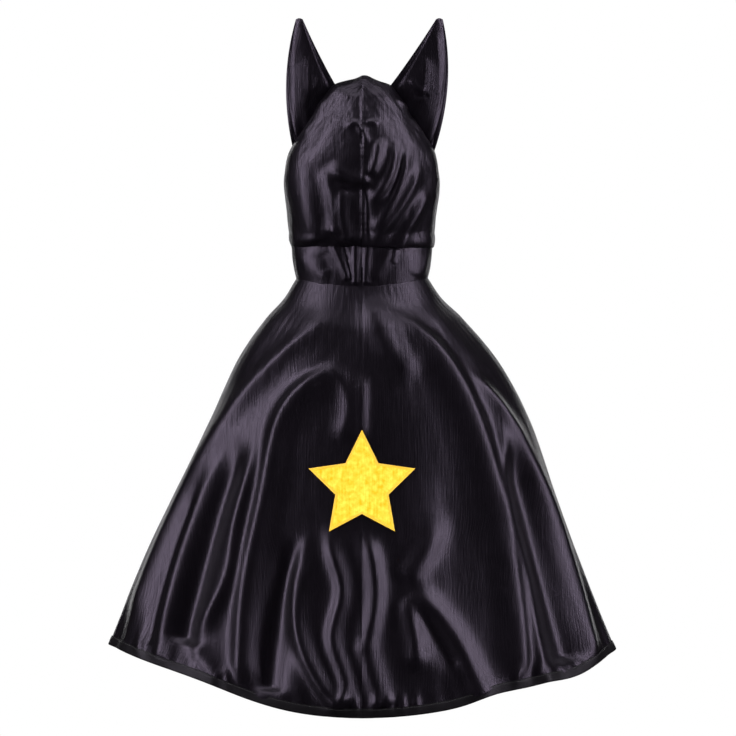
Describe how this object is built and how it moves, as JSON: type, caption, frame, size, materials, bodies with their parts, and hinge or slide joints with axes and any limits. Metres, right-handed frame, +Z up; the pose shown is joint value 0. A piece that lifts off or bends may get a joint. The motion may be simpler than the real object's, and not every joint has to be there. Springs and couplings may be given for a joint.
{
  "type": "hooded costume cape",
  "caption": "Child's satin costume cape with an eared hood, a front neck closure and a velvet star applied to the back.",
  "frame": {"origin": "centre of the neckline, at the height of the neck seam", "axes": "+Z up towards the crown of the hood, -Y out of the back that carries the emblem, so the wearer looks along +Y, and +X towards the wearer's right side"},
  "size_m": [0.767, 0.3462, 1.0478],
  "materials": {
    "satin": "glossy black polyester satin",
    "binding": "softer black satin tape",
    "velvet": "crushed yellow velvet",
    "thread": "yellow embroidery thread",
    "fibrefill": "loose polyester wadding",
    "hook_and_loop": "black hook-and-loop tape"
  },
  "bodies": {
    "cape": {"cape_panel_left": "satin", "cape_panel_right": "satin", "hem_binding": "binding", "front_binding_left": "binding", "front_binding_right": "binding", "collar_band_left": "satin", "collar_band_right": "satin", "neck_seam_tape": "binding", "loop_patch": "hook_and_loop", "emblem_star": "velvet", "emblem_stitching": "thread"},
    "hood": {"hood_panel_left": "satin", "hood_panel_right": "satin", "hood_face_binding": "binding"},
    "ear_left": {"ear_left_back_cover": "satin", "ear_left_front_cover": "satin", "ear_left_wadding": "fibrefill"},
    "ear_right": {"ear_right_back_cover": "satin", "ear_right_front_cover": "satin", "ear_right_wadding": "fibrefill"},
    "tab": {"closure_tab": "satin", "hook_patch": "hook_and_loop"}
  },
  "joints": [
    {"name": "hood_fold_back", "type": "hinge", "parent": "cape", "child": "hood", "pos_m": [0, -0.0675, 0.0567], "axis": [1, 0, 0], "range_deg": [0, 130]},
    {"name": "ear_left_flop", "type": "hinge", "parent": "hood", "child": "ear_left", "pos_m": [-0.0783, -0.015, 0.2542], "axis": [-0.5308, 0, -0.8475], "range_deg": [-50, 50], "stiffness_Nm_per_rad": 0.1},
    {"name": "ear_right_flop", "type": "hinge", "parent": "hood", "child": "ear_right", "pos_m": [0.0783, -0.015, 0.2542], "axis": [-0.5308, 0, 0.8475], "range_deg": [-50, 50], "stiffness_Nm_per_rad": 0.1},
    {"name": "closure_tab_open", "type": "hinge", "parent": "cape", "child": "tab", "pos_m": [-0.03, 0.0582, 0.025], "axis": [-0.034, 0.032, 0.9989], "range_deg": [0, 150]}
  ]
}
